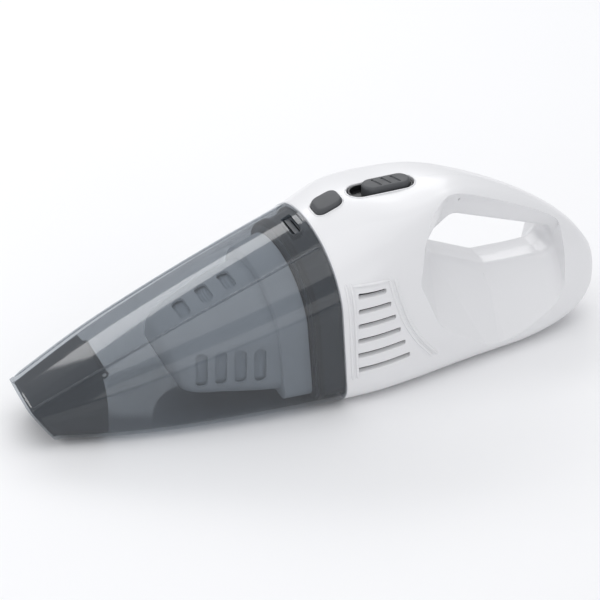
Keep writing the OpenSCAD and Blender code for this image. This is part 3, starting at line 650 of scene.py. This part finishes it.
# %% Places on the housing
AXIS_Z = 44.0
SCREWS = [(RING_X + 31, 79), (RING_X + 31, 11), (RING_X + 110, 92.5), (RING_X + 166, 51)]
low_button, high_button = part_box("release_button")
BUTTON_X = (low_button.x + high_button.x) / 2 / MM
low_tray, high_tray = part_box("switch_tray")
SLOT_X, SLOT_Z = (low_tray.x + high_tray.x) / 2 / MM, high_tray.z / MM
TAIL_X, SOCKET_Z = RING_X + HOUSING_LEN, 34.0
FULL = 0.91 * HOUSING_LEN
ALONG_X = Matrix.Rotation(math.radians(90), 4, "Y")
SIDE = Matrix(((1, 0, 0, 0), (0, 0, 1, 0), (0, 1, 0, 0), (0, 0, 0, 1)))


def box(bm, low, high):
    """A block between two corners."""
    slab(bm, [(high[0], high[1]), (low[0], high[1]), (low[0], low[1]), (high[0], low[1])],
         low[2], high[2])


def post(bm, x, z, radius, start, end, sides=40):
    """A round post across the body."""
    ring = [(x + radius * math.cos(2 * math.pi * k / sides),
             z + radius * math.sin(2 * math.pi * k / sides)) for k in range(sides)]
    slab(bm, ring, start, end, SIDE)


print("button at", round(BUTTON_X, 2), "switch at", round(SLOT_X, 2), round(SLOT_Z, 2))

# %% [markdown]
# ### Outside and inside
# The shell could be one skin with a Solidify modifier, but its inside is no even copy of its
# outside, because posts and a saddle stand in it. So the inside is drawn as a solid of its own,
# those shapes are cut from it, and what is left is cut from the outside in one go.

# %% Outside and inside
POST_R, SADDLE_ACROSS, SADDLE_TRIM, SADDLE_RISE = 4.25, 34.2, 1.5, 22
PAST = 60


def outside(bm):
    rim = [loop(ROWS, 0, 1.0), loop(ROWS, 0.02, 0.45), loop(ROWS, 0.2, 0.14), loop(ROWS, 0.5, 0)]
    run = [loop(ROWS, u, 0) for u in span(2, FULL, 80) + span(FULL + 1.5, HOUSING_LEN - 0.8, 12)]
    skin(bm, rim + run + [loop(ROWS, HOUSING_LEN - 0.2, 0.25), loop(ROWS, HOUSING_LEN, 0.9)])


def inside(bm):
    tail = [0.95 * HOUSING_LEN, 0.975 * HOUSING_LEN]
    skin(bm, [loop(ROWS, u, WALL) for u in span(-3, FULL, 60) + tail])


def saddle_block(bm):
    """The block that holds the motor's rubber ring, a little shorter than the ring."""
    low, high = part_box("motor_damper")
    box(bm, (low.x / MM + SADDLE_TRIM, -PAST, -5),
        (high.x / MM - SADDLE_TRIM, PAST, AXIS_Z + SADDLE_RISE))


def saddle_bore(bm):
    slab(bm, rounded(SADDLE_ACROSS, SADDLE_ACROSS, SADDLE_ACROSS / 2 - 0.01, 16), -100, 200,
         Matrix.Translation((0, 0, AXIS_Z)) @ ALONG_X)


cavity = carve(drawn("cavity", inside), drawn("lining", lambda bm: flare(bm, WALL)))
for x, z in SCREWS:
    carve(cavity, drawn("screw_post", lambda bm: post(bm, x, z, POST_R, -PAST, PAST)))
carve(cavity, carve(drawn("saddle", saddle_block), drawn("saddle_bore", saddle_bore)))
shell = carve(drawn("housing", outside), cavity, drawn("finger_hole", flare))
print("housing shell", len(shell.data.polygons), "faces")

# %% [markdown]
# ### Air slots
# Six slots a side, shorter towards the top, each cut slanting down and outwards like a louvre,
# so that from above one sees the lit lower lip and a thin dark line, and no dust falls in.

# %% Air slots
SLOTS, SLOT_TILT, SLOT_PITCH, LOWEST_SLOT, LONGEST_SLOT, SLOT_SHORTER = 6, 24, 9.9, -17, 35.5, 3.4
SLOT_HIGH, SLOT_CORNER, SLOT_DEPTH = 3.0, 1.0, 9


def slots(bm):
    for side in (-1, 1):
        for k in range(SLOTS):
            z, length = AXIS_Z + LOWEST_SLOT + SLOT_PITCH * k, LONGEST_SLOT - SLOT_SHORTER * k
            lean = Matrix.Rotation(math.radians(-side * SLOT_TILT), 4, "X")
            place = Matrix.Translation((RING_X + 5 + length / 2, side * 49, z)) @ lean @ SIDE
            slab(bm, rounded(SLOT_HIGH, length - 1, SLOT_CORNER, 5), -SLOT_DEPTH, SLOT_DEPTH, place)


carve(shell, drawn("air_slots", slots))
print("slots cut,", len(shell.data.polygons), "faces")

# %% [markdown]
# ### Pockets, screw wells and the two halves
# The button, the switch and the socket each sit in a pocket a fraction of a millimetre larger
# than themselves. Screws go in from the right: a thin bore for the thread and a wider well for
# the head. Last, the shell is parted on the middle plane, with a hair between the halves, which
# is the fine line that a real one shows.

# %% Pockets, screw wells and the two halves
BUTTON_POCKET, SLOT_WIDE, SLOT_LONG, SOCKET_POCKET, SOCKET_SEAT = 16.6, 15.6, 42, 5.3, 13.3
BORE_R, WELL_R, HALF_GAP = 1.58, 3.3, 0.04


def pockets(bm):
    slab(bm, rounded(BUTTON_POCKET, BUTTON_POCKET, 5.3), RING_H - 10, RING_H + 30,
         Matrix.Translation((BUTTON_X, 0, 0)))
    slab(bm, rounded(SLOT_WIDE, SLOT_LONG, SLOT_WIDE / 2 - 0.01, 14), SLOT_Z - 9, SLOT_Z + 12,
         Matrix.Translation((SLOT_X, 0, 0)))
    box(bm, (TAIL_X - SOCKET_SEAT, -SOCKET_POCKET, SOCKET_Z - SOCKET_POCKET),
        (TAIL_X + 1, SOCKET_POCKET, SOCKET_Z + SOCKET_POCKET))


carve(shell, drawn("pockets", pockets))
for x, z in SCREWS:
    carve(shell, drawn("bore", lambda bm: post(bm, x, z, BORE_R, -9, 7, 24)),
          drawn("well", lambda bm: post(bm, x, z, WELL_R, 6, PAST)))
for name, far in (("housing_left", 1), ("housing_right", -1)):
    half = bpy.data.objects.new(name + "_skin", shell.data.copy())
    bpy.context.scene.collection.objects.link(half)
    low, high = sorted((far * -HALF_GAP, far * 90))
    carve(half, drawn("other_side", lambda bm: box(bm, (-300, low, -50), (300, high, 200))))
    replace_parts(settle(half, "white_abs", "housing"), name)
bpy.data.objects.remove(shell)

# %% [markdown]
# ### The frame round the air slots
# Two fine raised lines run up both sides of the slots and one across the top; the rear pair
# sweeps outwards towards the belly. Each is a half-sunk bar laid on the flank: its path is
# drawn in the side view and dropped onto the skin with a ray.

# %% Raised lines on the flanks
def on_flank(flank, side, x, z):
    """The place on the skin that lies straight in from beside it."""
    hit = flank.ray_cast(Vector((x, side * 90, z)) * MM, Vector((0, -side, 0)))[0]
    return hit / MM


def curve_through(points, steps=8):
    """A smooth run of points through a few given ones in the side view."""
    out = []
    for k in range(len(points) - 1):
        p = [points[max(0, min(len(points) - 1, k + j))] for j in (-1, 0, 1, 2)]
        for j in range(steps):
            t = j / steps
            out.append([0.5 * (2 * b + (c - a) * t + (2 * a - 5 * b + 4 * c - d) * t * t
                               + (3 * b - a - 3 * c + d) * t**3) for a, b, c, d in zip(*p)])
    return out + [list(points[-1])]


LINE_R, FRONT_PAIR, REAR_PAIR = 0.95, 3.0, 3.4
FRONT_LINE = [(RING_X - 1.0, 83), (RING_X + 0.6, 60), (RING_X + 1.6, 40), (RING_X + 2.6, 20)]
TOP_LINE = [(RING_X + 2.2, 81.5), (RING_X + 25, 81.5)]
REAR_LINE = [(RING_X + 25, 81.5), (RING_X + 29.5, 66), (RING_X + 35.5, 50), (RING_X + 44, 35),
             (RING_X + 56, 20)]
for side, name in ((-1, "left"), (1, "right")):
    half = bpy.data.objects["housing_" + name + "_skin"]
    flank = BVHTree.FromPolygons([v.co for v in half.data.vertices],
                                 [p.vertices for p in half.data.polygons])
    bm = bmesh.new()
    for line, shift in ((FRONT_LINE, 0), (FRONT_LINE, FRONT_PAIR), (TOP_LINE, 0), (REAR_LINE, 0),
                        (REAR_LINE, REAR_PAIR)):
        path = [on_flank(flank, side, x + shift, z) for x, z in curve_through(line)]
        bar(bm, path, LINE_R)
    settle(thing("slot_frame_" + name, bm), "white_abs", "housing", 60)

# %% [markdown]
# ## The dust bowl
# One clear shell, open at the mouth and at the joint, with a slightly thicker lip at each end.
# Its wall is one run of outlines that goes out along the outside and back along the inside, so
# the lips are only a few outlines more. A window in its top takes the hook of the release latch.

# %% Bowl and its window
WINDOW_WIDE, WINDOW_LONG, WINDOW_CORNER = 19, 6, 0.8
WINDOW_X = RING_X - 13.6
DECK = math.atan((RING_H - MOUTH_TOP) / (BOWL_LEN - LEAN))
TILT = Matrix.Translation((WINDOW_X, 0, RING_H)) @ Matrix.Rotation(-DECK, 4, "Y")


def bowl_wall(bm):
    out = [(0, 0.4), (0.3, -0.5), (2.2, -0.5), (2.9, 0.0)]
    run = [(MOUTH_U + d, inset) for d, inset in out]
    run += [(u, 0) for u in span(MOUTH_U + 5, -2.6, 70)] + [(-2.2, -0.35), (-0.9, -0.35), (-0.6, 0.2)]
    run += [(-0.6, 1.6)] + [(u, BOWL_WALL) for u in span(-2, MOUTH_U + 3, 60)]
    skin(bm, [loop(ROWS, u, inset) for u, inset in run + [(MOUTH_U, 1.5)]], joined=True)


def window(bm):
    slab(bm, rounded(WINDOW_WIDE, WINDOW_LONG, WINDOW_CORNER, 3), -8, 8, TILT)


bowl = carve(drawn("bowl", bowl_wall), drawn("window", window))
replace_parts(settle(bowl, "tinted_clear", "bowl", 28), "dust_bowl")

# %% [markdown]
# ### Beads and the window's rim
# A fine bead runs along both top edges, where the mould parts, and a narrow rim stands round
# the window so that its edge doesn't chip. Both are drawn as pieces of their own, because a
# bead that is joined to the thin wall would leave slivers along it.

# %% Beads and the window's rim
BEAD_R, RIM_DEEP, RIM_CREST, RIM_TOP = 0.75, -1.2, 0.9, 1.25


def crease_point(u, side):
    """The top edge of the body at u."""
    s = section(ROWS, u)
    return Vector((RING_X + s[0] - s[7], side * s[5], s[2] + 0.1))


def beads(bm):
    for side in (-1, 1):
        bar(bm, [crease_point(u, side) for u in span(MOUTH_U + 3, -2.4, 48)], BEAD_R, 12)


def window_rim(bm):
    """Up the inside of the rim, over its top and down the outside, each time a little wider."""
    run = ((RIM_DEEP, 0, 0), (RIM_CREST, 0, 0), (RIM_TOP, 0.5, 0.2), (RIM_CREST, 1.2, 0.5),
           (RIM_DEEP, 1.2, 0.5))
    skin(bm, [[TILT @ Vector((x, y, z)) for x, y in
               rounded(WINDOW_WIDE + more, WINDOW_LONG + more, WINDOW_CORNER + turn, 3)]
              for z, more, turn in run], joined=True)


settle(drawn("bowl_beads", beads), "tinted_clear", "bowl", 60)
settle(drawn("window_rim", window_rim), "tinted_clear", "bowl", 40)

# %% [markdown]
# ## The filter cup
# A pale moulded cup sits behind the bowl's wall: a band that seats on the spigot, a taper with
# rows of rounded windows for the air, and a soft nose. A cloth shell lines it. The taper has its
# own few sections, and the band takes the body's, because it has to fit inside the bowl.

# %% Sections of the filter cup
SPIGOT, BAND_LEN, CUP_LEN, CUP_WALL, BAND_INSET, SEAT_R = 17, 18, 60, 1.6, 7, 31
NOSE = -SPIGOT - BAND_LEN - CUP_LEN
HIGH, WIDE = (section(ROWS, -SPIGOT - BAND_LEN)[k] - BAND_INSET for k in (2, 3))
CUP = [(NOSE, 24, 42, 14, 6, 6, 8, 8, 90, 0),
       (NOSE + 5, 16, 50, 25, 10, 10, 14, 8, 80, 0.5),
       (NOSE + CUP_LEN / 2, 11, blend(50, HIGH, 0.5), 32, 14, 12, 20, 8, 65, 1),
       (NOSE + CUP_LEN, 9, HIGH - 4, WIDE - 3, 16, 14, 26, 8, 60, 2),
       (-SPIGOT - 1, 9, HIGH - 4, WIDE - 3, 16, 14, 26, 7, 60, 2)]
print("cup from", NOSE, "to", -SPIGOT)

# %% [markdown]
# ### The cup from solids
# The taper and the band are joined, then the inside, the round mouth and the windows are cut
# out, and a round collar is added last, which pushes into the hole of the wall behind it.
# Cutting solids is slower than drawing the walls, but every window then has a true rim.

# %% The cup from solids
WINDOW_CORNERS, SIDE_WINDOWS, SIDE_PITCH, TOP_WINDOWS, TOP_PITCH = 3.49, 4, 11, 3, 14
COLLAR_WALL = 2


def cup_solid(bm, wall, end):
    places = [NOSE + wall + d for d in (0, 0.7, 1.5, 2.5, 3.8, 5.5)]
    skin(bm, [loop(CUP, u, wall) for u in places + span(NOSE + 9, end, 26)])


def band(bm):
    start, end = -SPIGOT - BAND_LEN, -SPIGOT - 1.2
    run = [(start, 0.7), (start + 0.3, 0.2), (start + 1, 0), (end - 1, 0), (end - 0.3, 0.2), (end, 0.7)]
    skin(bm, [loop(ROWS, u, BAND_INSET + inset) for u, inset in run])


def tube(bm, radius, start, end, height=AXIS_Z, sides=72):
    """A round bar along the body."""
    made = bmesh.ops.create_cone(bm, cap_ends=True, segments=sides, radius1=radius, radius2=radius,
                                 depth=end - start)["verts"]
    place = Matrix.Translation(((start + end) / 2, 0, height)) @ ALONG_X
    bmesh.ops.transform(bm, matrix=place, verts=made)


def windows(bm):
    back = RING_X - SPIGOT - BAND_LEN
    for k in range(SIDE_WINDOWS):
        for side in (-1, 1):
            place = Matrix.Translation((back - 14 - SIDE_PITCH * k, side * 32, 34)) @ SIDE
            slab(bm, rounded(23, 7, WINDOW_CORNERS, 8), -20, 20, place)
    for k in range(TOP_WINDOWS):
        place = Matrix.Translation((back - 20 - TOP_PITCH * k, 0, 0))
        slab(bm, rounded(19, 7, WINDOW_CORNERS, 8), 40, 100, place)


cup = drawn("filter_cup", lambda bm: cup_solid(bm, 0, -SPIGOT - 1))
carve(cup, drawn("cup_band", band), how="UNION")
inner_r, seat_x = SEAT_R - COLLAR_WALL, RING_X - SPIGOT
carve(cup, drawn("cup_inside", lambda bm: cup_solid(bm, CUP_WALL, -SPIGOT - BAND_LEN / 2)),
      drawn("cup_mouth", lambda bm: tube(bm, inner_r, seat_x - BAND_LEN + 4, RING_X)),
      drawn("windows", windows))
collar = drawn("collar", lambda bm: tube(bm, SEAT_R, seat_x - 9, seat_x + 3))
carve(collar, drawn("collar_bore", lambda bm: tube(bm, inner_r, RING_X - 40, RING_X)))
carve(cup, collar, how="UNION")
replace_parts(settle(cup, "filter_white", "filter", 35), "filter_frame")

# %% [markdown]
# ## The controls
# The release button is a soft-edged square that stands a little proud of its pocket, and a
# flange below keeps it in. The deck slopes there, so the button's top slants with it: a shear
# lifts its rear and leaves its sides upright, which a turn would not.

# %% Button
LATCH_TOP, FLANGE_Z, FLANGE_THICK = 91.9, 101.2, 1.6
BUTTON_WIDE, BUTTON_PROUD, BUTTON_STEM, FLANGE_WIDE, DECK_REACH = 16, 3, 13, 19, 10


def deck(x, y=0.5):
    """How high the housing's top is at a place beside the middle."""
    half = bpy.data.objects["housing_right_skin"]
    down = half.ray_cast(Vector((x, y, 200)) * MM, Vector((0, 0, -1)))[1]
    return down.z / MM


FRONT, REAR = deck(BUTTON_X - DECK_REACH), deck(BUTTON_X + DECK_REACH)
UPRIGHT = Matrix.Translation((BUTTON_X, 0, 0))
SLANT = UPRIGHT @ Matrix(
    ((1, 0, 0, 0), (0, 1, 0, 0), ((REAR - FRONT) / (2 * DECK_REACH), 0, 1, 0), (0, 0, 0, 1)))


def button(bm):
    slab(bm, rounded(BUTTON_WIDE, BUTTON_WIDE, 5, 9), LATCH_TOP + 4,
         (FRONT + REAR) / 2 + BUTTON_PROUD, SLANT, rounding=1.8, steps=6)
    slab(bm, rounded(BUTTON_STEM, BUTTON_STEM, 3, 4), LATCH_TOP, LATCH_TOP + 4.5, UPRIGHT)


def flange(bm):
    slab(bm, rounded(FLANGE_WIDE, FLANGE_WIDE, 3.0, 6), FLANGE_Z - FLANGE_THICK, FLANGE_Z, UPRIGHT,
         rounding=0.3)


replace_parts(settle(carve(drawn("button", button), drawn("flange", flange), how="UNION"),
                   "button_grey", "button", 40), "release_button")

# %% [markdown]
# ### Switch knob and tray
# The knob is a rounded pad with three slanted grooves for the thumb, and slides in a black tray
# let into the top. Its many-sided top is cut into triangles before the grooves are, because the
# solver could otherwise tear it. The pad and the tray lie on a plane that is turned a very
# little, as the top of the housing is there.

# %% Switch knob and tray
SWITCH_TILT, KNOB_REST = -0.164, 3.5
KNOB_WIDE, KNOB_LONG, KNOB_LOW, KNOB_HIGH = 13, 30, -2.9, 3.7
GROOVE_PITCH, GROOVE_HALF, GROOVE_R, GROOVE_Z, GROOVE_TURN = 6, 4.3, 0.85, 3.75, 20
TRAY_WIDE, TRAY_LONG, TRAY_DEEP, FOOT_TOP, TRACK_WIDE, TRACK_LONG = 15, 40.4, -5, -3.5, 13.6, 38
FOOT_MORE = 4
SWITCH = Matrix.Translation((SLOT_X, 0, SLOT_Z)) @ Matrix.Rotation(math.radians(SWITCH_TILT), 4, "Y")


def stadium(width, length, steps):
    """A rectangle with half-round ends."""
    return rounded(width, length, width / 2 - 0.01, steps)


def knob(bm):
    slab(bm, stadium(KNOB_WIDE, KNOB_LONG, 12), KNOB_LOW, KNOB_HIGH,
         SWITCH @ Matrix.Translation((KNOB_REST, 0, 0)), rounding=1.7, steps=6)
    bmesh.ops.triangulate(bm, faces=bm.faces[:])


def grooves(bm):
    for k in (-1, 0, 1):
        place = SWITCH @ Matrix.Translation((KNOB_REST + GROOVE_PITCH * k, 0, GROOVE_Z))
        turn = place @ Matrix.Rotation(math.radians(GROOVE_TURN), 4, "Z")
        run = (-GROOVE_HALF, -4.0, 0, 4.0, GROOVE_HALF)
        bar(bm, [turn @ Vector((0, y, 0)) for y in run], GROOVE_R, 12)


def tray(bm):
    slab(bm, stadium(TRAY_WIDE, TRAY_LONG, 14), TRAY_DEEP, 0, SWITCH, rounding=0.35)


def tray_foot(bm):
    slab(bm, stadium(TRAY_WIDE + FOOT_MORE, TRAY_LONG + FOOT_MORE, 14), TRAY_DEEP, FOOT_TOP, SWITCH,
         rounding=0.3)


def tray_track(bm):
    """The track for the knob, and the slot below it for the knob's stem."""
    slab(bm, stadium(TRACK_WIDE, TRACK_LONG, 14), -3, 6, SWITCH)
    slab(bm, rounded(4.4, 14, 0.6, 3), -14, -2, SWITCH)


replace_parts(settle(carve(drawn("knob", knob), drawn("grooves", grooves)),
                   "button_grey", "switch", 40), "switch_knob")
holder = carve(drawn("tray", tray), drawn("tray_foot", tray_foot), how="UNION")
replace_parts(settle(carve(holder, drawn("track", tray_track)), "tray_black", "housing", 40),
            "switch_tray")

# %% [markdown]
# ### Rims and the charge socket
# A fine raised lip runs round the button's pocket and the switch slot, as the tool's inserts
# leave it. The socket at the tail is a square black block with softened edges and a round
# bore for the plug.

# %% Pocket rims and socket
LIP_R, LIP_SUNK = 0.6, 0.1
SOCKET_WIDE, SOCKET_BACK, SOCKET_LONG, PLUG_R, PLUG_BACK, PLUG_LONG = 10, 14, 12.8, 2.75, 10.7, 10.5
for name, outline, middle in (("button_lip", rounded(17.8, 17.8, 5.9, 10), BUTTON_X),
                              ("slot_lip", rounded(16.8, 43.2, 8.39, 10), SLOT_X)):
    path = [Vector((middle + x, y, deck(middle + x, max(abs(y), 0.1)) - LIP_SUNK)) for x, y in outline]
    settle(drawn(name, lambda bm: bar(bm, path, LIP_R, 8, closed=True)), "white_abs", "housing", 60)


def socket_block(bm):
    place = Matrix.Translation((TAIL_X - SOCKET_BACK, 0, SOCKET_Z)) @ ALONG_X
    slab(bm, rounded(SOCKET_WIDE, SOCKET_WIDE, 0.9, 4), 0, SOCKET_LONG, place, rounding=0.5)


def plug_bore(bm):
    back = TAIL_X - PLUG_BACK
    tube(bm, PLUG_R, back, back + PLUG_LONG, SOCKET_Z, 56)


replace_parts(settle(carve(drawn("socket", socket_block), drawn("plug_bore", plug_bore)),
                   "tray_black", "housing", 40), "charge_socket")
